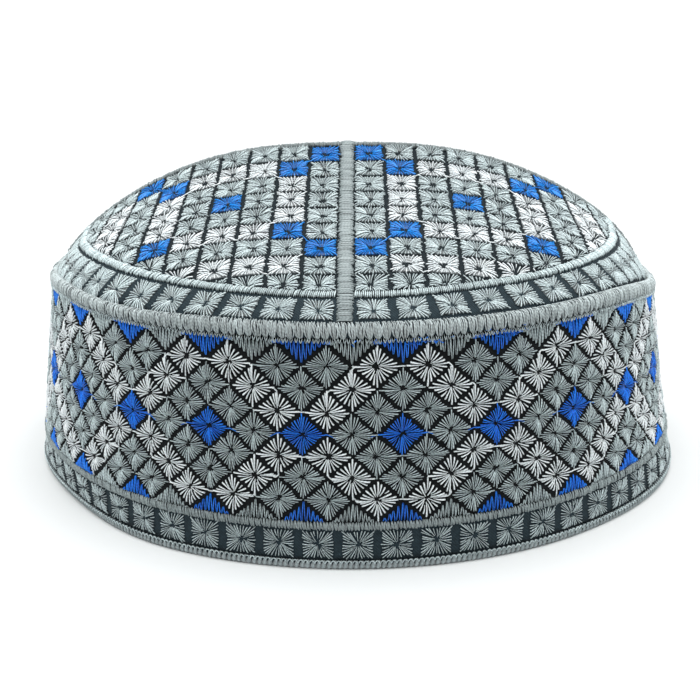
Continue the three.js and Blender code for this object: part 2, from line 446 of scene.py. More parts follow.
def thread_mesh(name, batches, mounds=None):
    """A mesh of closed strands, with each point's length along its thread, place round it and
    the thread's own shade in the attribute thread. Mounds are the padding below them."""
    coords, infos, quads, triangles, first = [], [], [], [], 0

    def add(points, info, faces):
        """Adds like pieces, whose faces are the same but for the number they start from."""
        nonlocal first
        coords.append(points.reshape(-1, 3))
        infos.append(info.reshape(-1, 3))
        starts = first + np.arange(len(points))[:, None, None] * points.shape[1]
        for kept, rows in zip((triangles, quads), faces):
            if len(rows):
                kept.append((np.array(rows)[None] + starts).reshape(-1, np.shape(rows)[-1]))
        first += points.shape[0] * points.shape[1]

    if mounds:
        add(mounds["coords"], mounds["info"], [mounds["triangles"]])
    for batch in batches:
        points, outward = batch["points"], batch["outward"]
        count, inner = points.shape[0], points.shape[1] - 2
        if count == 0:
            continue
        side = unit(np.cross(outward, np.gradient(points, axis=1)))[:, 1:-1]
        side = side * batch["half_width"][..., None]
        middle, up = points[:, 1:-1], outward[:, 1:-1] * batch["thickness"] * 0.5
        body = np.stack([middle + side - up, middle + up, middle - side - up], 2)
        block = np.concatenate([points[:, :1], body.reshape(count, -1, 3), points[:, -1:]], 1)
        along = np.linalg.norm(np.diff(points, axis=1), axis=-1).cumsum(1) / MM
        last = 1 + inner * 3
        info = np.zeros((count, last + 1, 3))
        info[:, 1:-1, 0] = np.repeat(along[:, :-1], 3, axis=1)
        info[:, -1, 0] = along[:, -1]
        info[:, :, 1] = 0.5
        info[:, 1:-1, 1] += np.tile([-0.5, 0, 0.5], inner) * batch["flank"]
        info[:, :, 2] = batch["shade"][:, None]
        end = last - 3
        tips = [(0, 2, 1), (0, 3, 2), (0, 1, 3),
                (last, end, end + 1), (last, end + 1, end + 2), (last, end + 2, end)]
        walls = []
        for a in range(1, end, 3):
            b = a + 3
            walls += [(a, a + 1, b + 1, b), (a + 1, a + 2, b + 2, b + 1), (a + 2, a, b, b + 2)]
        add(block, info, [tips, walls])
    mesh = mesh_from_arrays(name, np.concatenate(coords), np.concatenate(quads),
                            np.concatenate(triangles))
    thread = mesh.attributes.new("thread", "FLOAT_VECTOR", "POINT")
    thread.data.foreach_set("vector", np.concatenate(infos).astype(np.float32).ravel())
    return mesh


def ring_quads(rings, spokes):
    """Faces between rings of points that lie round a middle, from the innermost outwards."""
    k, k_next = ring_steps(spokes)
    start = np.arange(rings - 1)[:, None] * spokes
    return np.stack([start + k, start + spokes + k, start + spokes + k_next, start + k_next],
                    -1).reshape(-1, 4)


def mesh_from_arrays(name, coords, quads, triangles=()):
    triangles = np.asarray(triangles, int).reshape(-1, 3)
    mesh = bpy.data.meshes.new(name)
    corners = np.concatenate([np.ravel(quads), triangles.ravel()]).astype(np.int32)
    starts = np.concatenate([np.arange(len(quads)) * 4,
                             len(quads) * 4 + np.arange(len(triangles)) * 3]).astype(np.int32)
    mesh.vertices.add(len(coords))
    mesh.vertices.foreach_set("co", np.asarray(coords, np.float32).ravel())
    mesh.loops.add(len(corners))
    mesh.loops.foreach_set("vertex_index", corners)
    mesh.polygons.add(len(starts))
    mesh.polygons.foreach_set("loop_start", starts)
    mesh.polygons.foreach_set("use_smooth", np.ones(len(starts), bool))
    mesh.update(calc_edges=True)
    return mesh


def add_piece(name, mesh, materials, replaced=()):
    """Adds a finished piece that rides on the cap and stands for the solids it replaces."""
    piece = bpy.data.objects.new(name, mesh)
    for material in materials:
        mesh.materials.append(material)
    bpy.context.scene.collection.objects.link(piece)
    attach(piece, "root")
    if replaced:
        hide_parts(*replaced)


def add_threads(name, batches, finish, replaced=(), mounds=None):
    """Adds a piece of threads in one finish."""
    mesh = thread_mesh(name, batches, mounds)
    add_piece(name, mesh, [material_of(finish)], replaced)


def ring_shell(name, profile_length, point, count=240):
    """A closed ring: point(length round the band, profile index) gives rows of places."""
    along = (np.arange(count) / count - 0.5) * BAND_ROUND
    coords = np.stack([point(along, k) for k in range(profile_length)], 1)
    k, j = np.meshgrid(np.arange(count), np.arange(profile_length), indexing="ij")
    k_next, j_next = (k + 1) % count, (j + 1) % profile_length
    quads = np.stack([k * profile_length + j, k_next * profile_length + j,
                      k_next * profile_length + j_next, k * profile_length + j_next], -1)
    return mesh_from_arrays(name, coords.reshape(-1, 3), quads.reshape(-1, 4))


def profile_ring(name, profile):
    """A closed ring round the band; its profile holds distances outwards and heights."""
    return ring_shell(name, len(profile), lambda along, k: beside_band(along, *profile[k]))


# Materials

def linear_colour(hex_colour):
    """An sRGB colour such as #2b3a3f as linear red, green, blue and full alpha."""
    channels = [int(hex_colour[k:k + 2], 16) / 255 for k in (1, 3, 5)]
    linear = [c / 12.92 if c <= 0.04045 else ((c + 0.055) / 1.055) ** 2.4 for c in channels]
    return (*linear, 1.0)


def add_node(tree, kind, inputs=(), **settings):
    """Adds a node with its settings. The inputs, in order or by name, are values, sockets to
    link, or nodes whose first output is linked."""
    node = tree.nodes.new(kind)
    for setting, value in settings.items():
        setattr(node, setting, value)
    for socket, value in inputs.items() if isinstance(inputs, dict) else enumerate(inputs):
        if isinstance(value, bpy.types.Node):
            value = value.outputs[0]
        if isinstance(value, bpy.types.NodeSocket):
            tree.links.new(value, node.inputs[socket])
        else:
            node.inputs[socket].default_value = value
    return node


def start_material(name):
    material = bpy.data.materials.new(name)
    material.use_nodes = True
    material.node_tree.nodes.clear()
    return material, material.node_tree


def start_cloth(name):
    """An empty material, with the two lengths over the cloth, in metres, for its weave."""
    material, tree = start_material(name)
    lengths = add_node(tree, "ShaderNodeUVMap", uv_map="cloth")
    across, up, _ = add_node(tree, "ShaderNodeSeparateXYZ", [lengths]).outputs
    return material, tree, lengths, across, up


def wave_over(tree, length, pitch):
    """A wave along a length, with one turn for each pitch."""
    turn = add_node(tree, "ShaderNodeMath", [length, 2 * pi / pitch], operation="MULTIPLY")
    return add_node(tree, "ShaderNodeMath", [turn], operation="SINE")


def end_material(tree, colour, height, strength, depth, sockets):
    """Ends a material: relief of the given strength and depth, the shader and the output."""
    bump = add_node(tree, "ShaderNodeBump",
                    {"Height": height, "Strength": strength, "Distance": depth * MM})
    shader = add_node(tree, "ShaderNodeBsdfPrincipled",
                      {"Base Color": colour, "Normal": bump, **sockets})
    add_node(tree, "ShaderNodeOutputMaterial", [shader])


def set_ramp(ramp, stops):
    elements = ramp.color_ramp.elements
    while len(elements) < len(stops):
        elements.new(0.5)
    for element, (position, colour) in zip(elements, stops):
        element.position = position
        element.color = colour


def tinted(colour, factor):
    return (*(min(channel * factor, 1) for channel in colour[:3]), 1.0)


def embroidery_thread(name, hex_colour, roughness=0.38, depth=0.05, painted_highlight=1.9, sheen=0.15):
    """Polyester embroidery thread: two plies of bright filament twisted together, so each
    strand has slanting plies and a tone a little off the strand beside it; a highlight along
    its ridge and shade on its flanks, where it lies against its neighbours, are painted."""
    material, tree = start_material(name)
    colour = linear_colour(hex_colour)
    thread = add_node(tree, "ShaderNodeAttribute", attribute_name="thread")
    parts = add_node(tree, "ShaderNodeSeparateXYZ", [thread.outputs["Vector"]])
    along, around, own = parts.outputs
    # The real plies turn about every 0.5 mm; they are drawn every 0.9 mm, so that they show.
    plies = add_node(tree, "ShaderNodeMath", [along, 1 / 0.9], operation="MULTIPLY")
    slant = add_node(tree, "ShaderNodeMath", [around, 0.8, plies], operation="MULTIPLY_ADD")
    phase = add_node(tree, "ShaderNodeMath", [own, 7.0, slant], operation="MULTIPLY_ADD")
    wave = wave_over(tree, phase, 1)
    own_shade = add_node(tree, "ShaderNodeMath", [own, 0.24, 0.1], operation="MULTIPLY_ADD")
    plied = add_node(tree, "ShaderNodeMath", [wave, 0.1, own_shade], operation="MULTIPLY_ADD")
    aside = add_node(tree, "ShaderNodeMath", [around, 0.5], operation="SUBTRACT")
    flank = add_node(tree, "ShaderNodeMath", [aside], operation="ABSOLUTE")
    ridge = add_node(tree, "ShaderNodeMath", [flank, -1.3, 0.65], operation="MULTIPLY_ADD")
    shade = add_node(tree, "ShaderNodeMath", [ridge, plied], operation="ADD")
    # The ramp paints shade on each strand's flanks, as dark as the depth makes them, and a painted
    # highlight along its ridge.
    ramp = add_node(tree, "ShaderNodeValToRGB", [shade])
    set_ramp(ramp, [(0.12, tinted(colour, depth)), (0.42, tinted(colour, 0.5 + depth)),
                    (0.68, colour), (1.0, tinted(colour, painted_highlight))])
    end_material(tree, ramp, wave, 0.5, 0.03, {
        "Roughness": roughness, "Sheen Weight": sheen, "Sheen Roughness": 0.35, "IOR": 1.5})
    return material


def twill_cloth(name, hex_colour):
    """Brushed polycotton twill: fine slanting ribs that take the light dully, a little lint
    and uneven dye, so open cloth reads as dark slate. Between close stitches it is
    painted nearly black, as painted shade."""
    material, tree, lengths, across, up = start_cloth(name)
    colour = linear_colour(hex_colour)
    # Real twill ribs stand about 0.35 mm apart and its yarns 0.25 mm; the ribs are drawn
    # 0.6 mm apart, one every 0.85 mm along the cloth, and the yarns 0.5 mm, so that they show.
    diagonal = add_node(tree, "ShaderNodeMath", [across, up], operation="ADD")
    ribs = wave_over(tree, diagonal, 0.85 * MM)
    yarns = wave_over(tree, across, 0.5 * MM)
    weave = add_node(tree, "ShaderNodeMath", [yarns, 0.4, ribs], operation="MULTIPLY_ADD")
    # Tufts of lint lie about 1.1 mm apart.
    lint = add_node(tree, "ShaderNodeTexNoise",
                    {"Vector": lengths, "Scale": 0.9 / MM, "Detail": 3.0})
    shade = add_node(tree, "ShaderNodeMath", [weave, 0.12, lint], operation="MULTIPLY_ADD")
    ramp = add_node(tree, "ShaderNodeValToRGB", [shade])
    set_ramp(ramp, [(0.25, tinted(colour, 0.7)), (0.75, tinted(colour, 1.3))])
    # Between close stitches the cloth is darkened to a tenth of its colour, as painted shade.
    stitched = add_node(tree, "ShaderNodeAttribute", attribute_name="stitched")
    # Inputs 6 and 7 of the mix are its two colours, and its output 2 is the mixed colour.
    painted_shade_mix = add_node(tree, "ShaderNodeMix", {"Factor": stitched.outputs["Fac"], 6: ramp,
                                               7: tinted(colour, 0.1)}, data_type="RGBA")
    end_material(tree, painted_shade_mix.outputs[2], weave, 0.6, 0.05, {
        "Roughness": 0.88, "Sheen Weight": 0.04, "Sheen Roughness": 0.5,
        "Specular IOR Level": 0.25, "IOR": 1.45})
    return material


def lining_cloth(name, hex_colour):
    """Plain-woven cotton lining: an even over-and-under weave with no gloss."""
    material, tree, lengths, across, up = start_cloth(name)
    colour = linear_colour(hex_colour)
    # Lining yarns lie about 0.4 mm apart; they are drawn 0.7 mm apart, so that they show.
    warp, weft = (wave_over(tree, way, 0.7 * MM) for way in (across, up))
    weave = add_node(tree, "ShaderNodeMath", [warp, weft], operation="MULTIPLY")
    # The dye has taken unevenly in patches of about 6 mm.
    dye = add_node(tree, "ShaderNodeTexNoise",
                   {"Vector": lengths, "Scale": 0.16 / MM, "Detail": 2.0})
    shade = add_node(tree, "ShaderNodeMath", [weave, 0.15, dye], operation="MULTIPLY_ADD")
    ramp = add_node(tree, "ShaderNodeValToRGB", [shade])
    set_ramp(ramp, [(0.2, tinted(colour, 0.75)), (0.8, tinted(colour, 1.25))])
    end_material(tree, ramp, weave, 0.6, 0.06, {"Roughness": 0.93, "IOR": 1.45})
    return material


def painted_board(name, hex_colour):
    """Matt painted studio board: an even, pale, scattering face."""
    material, tree = start_material(name)
    # The texture spans the board's 6.8 m once, so its unevenness is about 17 mm across.
    grain = add_node(tree, "ShaderNodeTexNoise", {"Scale": 400.0, "Detail": 2.0})
    end_material(tree, linear_colour(hex_colour), grain, 0.05, 0.1, {"Roughness": 0.9})
    return material


def hex_of(colour):
    """A colour picked in the panel, which is held in linear values, as sRGB hex."""
    def channel(value):
        srgb = value * 12.92 if value <= 0.0031308 else 1.055 * value ** (1 / 2.4) - 0.055
        return round(max(0, min(srgb, 1)) * 255)
    return "#" + "".join(f"{channel(value):02x}" for value in colour[:3])


# Each finish by the name of its colour in the panel: how it is made, its name, and how it
# departs from the plain finish
FINISHES = {
    "grey": (embroidery_thread, "Polyester embroidery thread grey", {}),
    "white": (embroidery_thread, "Polyester embroidery thread white",
              {"roughness": 0.34, "depth": 0.07, "painted_highlight": 1.2}),
    "blue": (embroidery_thread, "Polyester embroidery thread blue",
             {"painted_highlight": 2.2, "sheen": 0.05}),
    "crown_blue": (embroidery_thread, "Polyester embroidery thread sky blue",
                   {"painted_highlight": 2.2, "sheen": 0.05}),
    "satin": (embroidery_thread, "Polyester satin stitch grey", {"depth": 0.2, "painted_highlight": 1.5}),
    "overlock": (embroidery_thread, "Textured polyester overlock thread",
                 {"roughness": 0.6, "depth": 0.18, "sheen": 0.3}),
    "hem": (embroidery_thread, "Textured polyester hem thread",
            {"roughness": 0.65, "depth": 0.3, "painted_highlight": 1.25, "sheen": 0.3}),
    "cloth": (twill_cloth, "Polycotton twill slate", {}),
    "lining": (lining_cloth, "Cotton lining charcoal", {}),
    "floor": (painted_board, "Painted studio board", {}),
}


def material_of(finish):
    """The material of a finish, made the first time that it is asked for."""
    make, name, looks = FINISHES[finish]
    colour = getattr(bpy.context.scene.kufi_colours, finish)
    return bpy.data.materials.get(name) or make(name, hex_of(colour), **looks)


# Cloth

def measured_cloth(mesh, lengths, wrap=0.0):
    """Stores each point's two lengths on the cloth, in metres, as the map cloth; wrap is the
    length round a closed ring, so that the map has no jump where it closes."""
    layer = mesh.uv_layers.new(name="cloth")
    corners = np.empty(len(mesh.loops), np.int32)
    mesh.loops.foreach_get("vertex_index", corners)
    values = lengths[corners].copy()
    if wrap:
        starts = np.empty(len(mesh.polygons), np.int32)
        totals = np.empty(len(mesh.polygons), np.int32)
        mesh.polygons.foreach_get("loop_start", starts)
        mesh.polygons.foreach_get("loop_total", totals)
        firsts = np.repeat(values[starts, 0], totals)
        values[:, 0] -= np.round((values[:, 0] - firsts) / wrap) * wrap
    layer.data.foreach_set("uv", values.astype(np.float32).ravel())


def mark_channel_painted_shade(mesh, shares):
    """Stores how far the cloth is darkened at each point by painted shade, from 0 to 1."""
    layer = mesh.attributes.new("stitched", "FLOAT", "POINT")
    layer.data.foreach_set("value", np.asarray(shares, np.float32).ravel())


def paint_faces(mesh, are_second):
    """Gives the second material to the faces that are marked."""
    mesh.polygons.foreach_set("material_index", np.asarray(are_second, np.int32))


def crown_cloth_mesh():
    """The crown's closed shell: rings of points round its middle, above and below."""
    rings, spokes = 30, 180
    shares = np.linspace(0, 1, rings + 1)[1:] ** 0.9
    k, k_next = ring_steps(spokes)
    radius, angle = np.meshgrid(shares * CROWN_HALF_DEPTH, k * 2 * pi / spokes, indexing="ij")
    x, y = radius * np.sin(angle) * CROWN_SQUASH, -radius * np.cos(angle)
    upper = np.stack([x, y, crown_height(x, y)], -1).reshape(-1, 3)
    top = np.array([[0, 0, crown_height(np.zeros(1), np.zeros(1))[0]]])
    down = [0, 0, CROWN_THICKNESS]
    coords = np.concatenate([upper, upper - down, top, top - down])
    below = rings * spokes
    upper_quads = ring_quads(rings, spokes)
    outer, outer_next = below - spokes + k, below - spokes + k_next
    edge = np.stack([outer, outer + below, outer_next + below, outer_next], -1)
    quads = np.concatenate([upper_quads, upper_quads[:, ::-1] + below, edge])
    caps = np.concatenate([np.stack([0 * k + 2 * below, k, k_next], -1),
                           np.stack([0 * k + 2 * below + 1, k_next + below, k + below], -1)])
    mesh = mesh_from_arrays("crown_cloth", coords, quads, caps)
    measured_cloth(mesh, coords[:, :2])
    plan_radius = np.hypot(coords[:, 0] / CROWN_SQUASH, coords[:, 1])
    # Inside the ring line the cloth gets a painted shade of 0.55.
    mark_channel_painted_shade(mesh, 0.55 * (plan_radius < RING_LINE_DEPTH))
    middles = np.empty(len(mesh.polygons) * 3)
    mesh.polygons.foreach_get("center", middles)
    x, y, z = middles.reshape(-1, 3).T
    paint_faces(mesh, z < crown_height(x, y) - CROWN_THICKNESS * 0.7)
    return mesh


def band_cloth_mesh():
    """The band's wall; its lining side runs up behind the cord to meet the crown."""
    reach = CROWN_RIM_HEIGHT - CROWN_THICKNESS - 0.1 * MM
    heights = [BAND_LOW, *(height * MM for height in (4, 8, 11, 13, 24, 36, 48)), BAND_HIGH]
    profile = [(0, height) for height in heights]
    profile += [(-1.5 * MM, BAND_HIGH), (-1.6 * MM, reach), (-WALL, reach)]
    profile += [(-WALL, height) for height in heights[::-1]]
    mesh = profile_ring("band_cloth", profile)
    count = len(mesh.vertices) // len(profile)
    lengths = np.zeros((count, len(profile), 2))
    lengths[..., 0] = (np.arange(count) / count * BAND_ROUND)[:, None]
    lengths[..., 1] = [height + outward for outward, height in profile]
    measured_cloth(mesh, lengths.reshape(-1, 2), BAND_ROUND)
    # Above 12 mm, among the band's stars, the cloth gets the full painted shade.
    mark_channel_painted_shade(mesh, np.tile([height > 12 * MM for _, height in profile], count))
    paint_faces(mesh, np.arange(len(mesh.polygons)) % len(profile) >= len(heights))
    return mesh


class KUFI_OT_lay_cloth(bpy.types.Operator):
    """Lay the slate cloth of the crown and the side band, with its lining"""
    bl_idname = "kufi.lay_cloth"
    bl_label = "Cloth"

    def execute(self, context):
        materials = [material_of("cloth"), material_of("lining")]
        add_piece("crown_cloth", crown_cloth_mesh(), materials, ["crown"])
        add_piece("band_cloth", band_cloth_mesh(), materials, ["side_band"])
        return {"FINISHED"}


# Embroidered stars and squares

DIAMOND = np.array([(1, 0), (0, 1), (-1, 0), (0, -1)], float)
SQUARE = np.array([(1, 1), (-1, 1), (-1, -1), (1, -1)], float)


def ray_ends(corners, per_side, side_share=1.0, corner_share=1.0):
    """Where the rays of one star end: its corners, and even steps along its sides between."""
    steps = np.arange(per_side + 1) / (per_side + 1)
    ends = between(corners, np.roll(corners, -1, axis=0), steps) * side_share
    ends[:, 0] = corners * corner_share
    return ends.reshape(-1, 2)


def star_rays(centres, half_sizes, ends, hole, rng, jag=0.042):
    """Starts and ends of the rays of stars; every second ray starts further from the hole."""
    each = (len(centres), len(ends), 1)
    reach = ends * half_sizes * (1 + rng.normal(0, jag, each))
    distance = np.linalg.norm(reach, axis=-1, keepdims=True)
    early = np.where(np.arange(len(ends)) % 2 == 0, 0.8, 1.45)[:, None]
    from_hole = hole * early * np.clip(1 + rng.normal(0, 0.5, each), 0.15, 2.2)
    wander = rng.normal(0, 0.03, each) * distance
    off_centre = rng.normal(0, hole * 0.16, (len(centres), 1, 2))
    start = centres[:, None] + off_centre + reach / distance * from_hole
    end = centres[:, None] + reach + crosswise(reach) / distance * wander * 0.6
    return start.reshape(-1, 2), end.reshape(-1, 2)


def in_repeat(column):
    """Columns from the middle of the nearest of the pattern's repeats, which are 8 wide."""
    return (column + 4) % 8 - 4


def star_colour(column, row):
    """Which thread a star of the band takes, by its column from the front and its row."""
    place = in_repeat(column)
    if place % 4 == 0 and row % 4 == 0:
        return "blue"
    side = abs(place)
    if side in (1, 2, 3) and row in (4 - side, 4 + side):
        return "white"
    return "grey"


def band_stars(colour):
    """Columns, rows and centres of the whole stars of one colour."""
    found = [(column, row) for column in COLUMNS for row in range(1, BAND_ROWS)
             if (column + row) % 2 == 0 and star_colour(column, row) == colour]
    cells = np.array(found)
    return cells, star_centres(cells)


def star_centres(cells):
    return pairs(COLUMN_START + cells[..., 0] * COLUMN_PITCH,
                 TOP_ROW_HEIGHT - cells[..., 1] * ROW_PITCH)


def extra_rays(centres, directions, fan, rng, width, relief):
    """Rays that thicken one corner of each star, fanned a little to either side of it."""
    turned = directions[:, None] + crosswise(directions)[:, None] * np.array(fan)[:, None]
    reach = turned * BAND_STAR_HALF * 0.86
    reach = reach * (1 + rng.normal(0, 0.03, turned.shape[:2]))[..., None]
    start = centres[:, None] + reach * 0.2
    end = centres[:, None] + reach
    return lay(band_face, start.reshape(-1, 2), end.reshape(-1, 2), width, relief, rng)


class KUFI_OT_stitch_band_stars(bpy.types.Operator):
    """Stitch the whole stars of the band in grey, white and blue thread"""
    bl_idname = "kufi.stitch_band_stars"
    bl_label = "Band stars"

    def execute(self, context):
        threads = context.scene.kufi_threads
        relief = threads.star_relief
        plan = (("grey", 8, threads.fine_width, 0.7), ("white", 5, threads.bold_width, 0.74),
                ("blue", 8, threads.fine_width, 0.68))
        for seed, (colour, per_side, width, hole) in enumerate(plan, 100):
            rng = np.random.default_rng(seed)
            cells, centres = band_stars(colour)
            ends = ray_ends(DIAMOND, per_side, 0.895, 0.94)
            start, end = star_rays(centres, BAND_STAR_HALF, ends, hole * MM, rng)
            batches = [lay(band_face, start, end, width, relief, rng)]
            if colour == "white":
                to_middle = -np.sign(in_repeat(cells[:, 0]))
                upper = cells[:, 1] < BAND_ROWS / 2
                corners = pairs(np.where(upper, 0.0, to_middle), np.where(upper, 1.0, 0.0))
                fan, share = (0.07,), 0.85
            else:
                corners = np.tile([0.0, -1.0], (len(cells), 1))
                fan, share = (-0.12, 0.12), 1
            batches.append(extra_rays(centres, corners, fan, rng, width * share, relief * 0.9))
            if colour == "white":
                batches.append(white_links(cells, rng, width, relief))
            if colour == "blue":
                batches.append(blue_passes(cells, rng))
            add_threads(f"band_stars_{colour}", batches, colour)
        return {"FINISHED"}


def white_links(cells, rng, width, relief):
    """Threads that carry the white from star to star through the corners that they share."""
    paths = []
    for cell, centre in zip(cells, star_centres(cells)):
        for step in ((1, 1), (1, -1), (2, 0)):
            other = cell + step
            if not 0 < other[1] < BAND_ROWS or star_colour(*other) != "white":
                continue
            target = star_centres(other)
            if step[0] == 2:
                corner = (centre + target) / 2
            elif in_repeat(cell[0]) < 0:
                corner = np.array([target[0], centre[1]])
            else:
                corner = np.array([centre[0], target[1]])
            corner = corner + rng.normal(0, 0.1 * MM, 2)
            reach = 0.86 if step[0] == 2 else 0.74
            first, last = (tip + (corner - tip) * reach for tip in (centre, target))
            near, far = (corner * 0.55 + tip * 0.45 for tip in (first, last))
            paths.append([first, first * 0.4 + near * 0.6, near,
                          far, last * 0.4 + far * 0.6, last])
    return bend(band_face, paths, width * 0.8, relief * 0.7, rng)


def blue_passes(cells, rng):
    """Blue thread that runs on under the lower edge of the grey star beside each blue one."""
    steps = np.array([0.82, 0.94, 1.02, 1.14, 1.28, 1.42]) * COLUMN_PITCH
    dips = np.array([0, 0.05, 0, -0.35, -0.8, -1.15]) * MM
    paths = [pairs(centre[0] + way * steps, centre[1] + dips * rng.uniform(0.5, 1.15))
             for centre in star_centres(cells) for way in (-1, 1)]
    return bend(band_face, paths, 0.3 * MM, 0.35 * MM, rng)


def zigzag(column, row, pitch, rng):
    """Starts and ends of the strokes that fill one half star at the band's edge."""
    pointing, base = (-1, STARS_TOP) if row == 0 else (1, STARS_BOTTOM)
    middle, line = star_centres(np.array([column, row]))
    strokes = 13
    offsets = (np.arange(strokes) - strokes // 2) * pitch + rng.normal(0, 0.07 * MM, strokes)
    room = ROW_PITCH * (1 - np.abs(offsets) / COLUMN_PITCH) - 0.7 * MM
    room = room + rng.normal(0, 0.15 * MM, strokes)
    starts, ends = [], []
    for offset, deep in zip(offsets, room):
        tip = np.array([middle + offset + 0.05 * MM, line + pointing * max(deep, 0.25 * MM)])
        if (tip[1] - base) * pointing < 0.35 * MM:
            continue
        for way in (-1, 1):
            starts.append((middle + offset + way * 0.4 * pitch, base + rng.normal(0, 0.1 * MM)))
            ends.append(tip + [way * 0.11 * MM, 0])
    return starts, ends


class KUFI_OT_stitch_band_triangles(bpy.types.Operator):
    """Fill the half stars along the upper and lower edge of the band"""
    bl_idname = "kufi.stitch_band_triangles"
    bl_label = "Band half stars"

    def execute(self, context):
        plan = (("grey", 0.98 * MM, 0.28 * MM), ("blue", 1.1 * MM, 0.31 * MM))
        for seed, (colour, pitch, width) in enumerate(plan, 200):
            rng = np.random.default_rng(seed)
            starts, ends = [], []
            for column in COLUMNS[::2]:
                for row in (0, BAND_ROWS):
                    if star_colour(column, row) == colour:
                        first, last = zigzag(column, row, pitch, rng)
                        starts += first
                        ends += last
            batch = lay(band_face, starts, ends, width, 0.42 * MM, rng, SATIN_STATIONS,
                        SATIN_WIDTHS, SATIN_LIFTS, bow=0.04 * MM)
            add_threads(f"band_half_stars_{colour}", [batch], colour)
        return {"FINISHED"}


class KUFI_OT_stitch_border_squares(bpy.types.Operator):
    """Stitch the row of squares between the satin line and the hem"""
    bl_idname = "kufi.stitch_border_squares"
    bl_label = "Border squares"

    def execute(self, context):
        threads = context.scene.kufi_threads
        rng = np.random.default_rng(300)
        along = BORDER_START + np.arange(BORDER_SQUARES) * BORDER_PITCH
        centres = pairs(along, BORDER_ROW_HEIGHT)
        half = np.array([3.8, 3.62]) * MM
        start, end = star_rays(centres, half, ray_ends(SQUARE, 7), 0.85 * MM, rng)
        batch = lay(band_face, start, end, threads.fine_width * 0.95,
                    threads.star_relief * 0.85, rng)
        add_threads("border_squares", [batch], "grey")
        return {"FINISHED"}


# Crown

def crown_cells():
    """Letter and centre of every square of the chart, in all four quarters of the crown."""
    cells = []
    for row, colours in enumerate(CROWN_CHART):
        for column, letter in enumerate(colours + "g"):
            for side, drops in ((-1, LEFT_DROPS), (1, RIGHT_DROPS)):
                down = FIRST_CELL_DOWN + drops[column] * MM + row * CELL_DROP
                for end in (-1, 1):
                    centre = (side * (FIRST_CELL_ACROSS + column * CELL_PITCH), end * down)
                    cells.append((letter, centre))
    return cells


def corner_threads(centres, half, width, rng):
    """Threads that run on over the corners from one square to the next of the same colour."""
    place, _ = crown_face(centres[:, 0], centres[:, 1])
    centres = centres[within_ring(place, 7 * MM)]
    paths = []
    for centre in centres:
        way = np.sign(centre)
        step = (centres - centre) * way
        beside = (step[:, 0] > 5 * MM) & (step[:, 0] < 1.3 * CELL_PITCH)
        for run in step[beside & (np.abs(step[:, 1]) < 1.3 * CELL_DROP)]:
            slanting = abs(run[1]) > CELL_DROP / 2
            fall = np.sign(run[1]) if slanting else 1
            first = np.array([[1, fall]]) * half * 0.93
            last = run + np.array([[-1, -fall if slanting else fall]]) * half * 0.93
            first, last = first + rng.normal(0, 0.2 * MM, 2), last + rng.normal(0, 0.2 * MM, 2)
            paths.append(centre + between(first, last, np.linspace(-0.25, 1.25, 6))[0] * way)
    return bend(crown_face, paths, width, 0.5 * MM, rng)


def within_ring(place, inset):
    """Which places on the crown lie inside the ring line by the inset or more."""
    across, ahead = place[..., 0] / CROWN_SQUASH, place[..., 1]
    limit = RING_LINE_DEPTH + rim_shift(np.arctan2(across, -ahead)) - inset
    return np.hypot(across, ahead) < limit


def inside_ring(start, end, inset, shortest):
    """Keeps the part of each ray of the crown that lies inside the ring line."""
    path = between(start, end, np.linspace(0, 1, 25))
    place, _ = crown_face(path[..., 0], path[..., 1])
    inside = within_ring(place, inset)
    rays = np.arange(len(start))
    first = path[rays, inside.argmax(1)]
    last = path[rays, inside.shape[1] - 1 - inside[:, ::-1].argmax(1)]
    keep = inside.any(1) & (np.linalg.norm(last - first, axis=-1) > shortest)
    return first[keep], last[keep]


class KUFI_OT_stitch_crown_squares(bpy.types.Operator):
    """Stitch the squares of the crown inside its satin ring, and the squares along the rim"""
    bl_idname = "kufi.stitch_crown_squares"
    bl_label = "Crown squares"

    def execute(self, context):
        threads = context.scene.kufi_threads
        self.crown_squares(threads, threads.square_relief)
        self.rim_squares(threads, threads.square_relief)
        return {"FINISHED"}

    def crown_squares(self, threads, relief):
        """The squares of the chart, each cut off where it meets the ring line."""
        fine, bold = threads.fine_width * 1.15, threads.bold_width * 0.85
        plan = (("g", "grey", "grey", 8, fine), ("W", "white", "white", 6, bold),
                ("B", "blue", "crown_blue", 8, fine))
        cells = crown_cells()
        half = np.array([4.05, 4.25]) * MM
        for seed, (letter, colour, finish, per_side, width) in enumerate(plan, 400):
            rng = np.random.default_rng(seed)
            centres = np.array([centre for kind, centre in cells if kind == letter])
            ends = ray_ends(SQUARE, per_side)
            start, end = star_rays(centres, half, ends, 1.12 * MM, rng, jag=0.05)
            start, end = inside_ring(start, end, 1.1 * MM, 0.8 * MM)
            batches = [lay(crown_face, start, end, width, relief, rng, lifts=SQUARE_LIFTS)]
            place, _ = crown_face(centres[:, 0], centres[:, 1])
            inner = centres[within_ring(place, 5.6 * MM)]
            uphill = np.sign(inner) * [0, -0.4 * MM]
            mounds = padding(crown_face, inner, half, uphill, relief, rng)
            if letter != "g":
                batches.append(corner_threads(centres, half, width * 0.8, rng))
            add_threads(f"crown_squares_{colour}", batches, finish, mounds=mounds)

    def rim_squares(self, threads, relief):
        """The squares between the ring line and the cord, flatter towards the sides."""
        rng = np.random.default_rng(410)
        centres, longer, side_share = rim_square_centres()
        half = pairs(3.9, 3.35 + longer)[:, None] * MM
        ends = ray_ends(SQUARE, 7)
        start, end = star_rays(centres, half, ends, 0.8 * MM, rng)
        reliefs = relief * np.repeat(0.85 - 0.45 * side_share, len(ends))[:, None]
        batch = lay(rim_face, start, end, threads.fine_width * 1.25, reliefs, rng,
                    lifts=SQUARE_LIFTS)
        uphill = np.tile([0, -0.3 * MM], (len(centres), 1))
        mounds = padding(rim_face, centres, half, uphill, relief * 0.4, rng)
        # The rim's two lengths turn the other way than the crown's, and so do the faces.
        mounds["triangles"] = mounds["triangles"][:, ::-1]
        add_threads("rim_squares", [batch], "grey", mounds=mounds)


